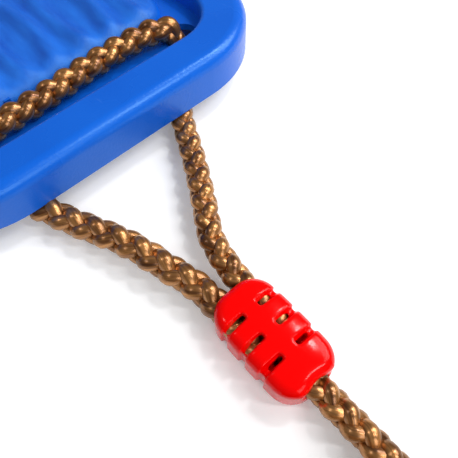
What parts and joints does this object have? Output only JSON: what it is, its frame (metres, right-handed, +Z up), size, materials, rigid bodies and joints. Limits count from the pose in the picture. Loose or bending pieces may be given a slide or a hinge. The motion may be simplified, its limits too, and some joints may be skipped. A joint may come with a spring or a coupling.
{
  "type": "swing seat",
  "caption": "Child's swing seat: arched moulded board with a rope loop held in each end by a moulded clamp, and hanging ropes coiled with slide adjusters and steel rings.",
  "frame": {"origin": "on the ground under the middle of the board", "axes": "+X along the board's long side towards the end that the picture shows, +Z up"},
  "size_m": [0.9, 0.2179, 0.042],
  "materials": {
    "board": "blue, satin moulded plastic",
    "clamp": "red, glossy moulded plastic",
    "rope": "golden brown plaited synthetic rope",
    "ring": "zinc-plated steel"
  },
  "bodies": {
    "swing": {"seat_board": "board", "near_clamp": "clamp", "near_loop_rope": "rope", "near_hanging_rope": "rope", "near_rope_coil": "rope", "near_top_rope": "rope", "near_end_cap": "clamp", "far_clamp": "clamp", "far_loop_rope": "rope", "far_hanging_rope": "rope", "far_rope_coil": "rope", "far_top_rope": "rope", "far_end_cap": "clamp"},
    "near_adjuster": {"near_adjuster": "clamp"},
    "near_ring": {"near_ring": "ring"},
    "far_adjuster": {"far_adjuster": "clamp"},
    "far_ring": {"far_ring": "ring"}
  },
  "joints": [
    {"name": "near_adjuster_slide", "type": "slide", "parent": "swing", "child": "near_adjuster", "axis": [0.7071, 0.7071, 0], "range_m": [0, 0.015]},
    {"name": "near_ring_swing", "type": "hinge", "parent": "swing", "child": "near_ring", "pos_m": [0.44724, 0.05711, 0.0113], "axis": [-0.7071, 0.7071, 0], "range_deg": [0, 90]},
    {"name": "far_adjuster_slide", "type": "slide", "parent": "swing", "child": "far_adjuster", "axis": [-0.7071, 0.7071, 0], "range_m": [0, 0.015]},
    {"name": "far_ring_swing", "type": "hinge", "parent": "swing", "child": "far_ring", "pos_m": [-0.42124, 0.05711, 0.0113], "axis": [-0.7071, -0.7071, 0], "range_deg": [0, 90]}
  ]
}
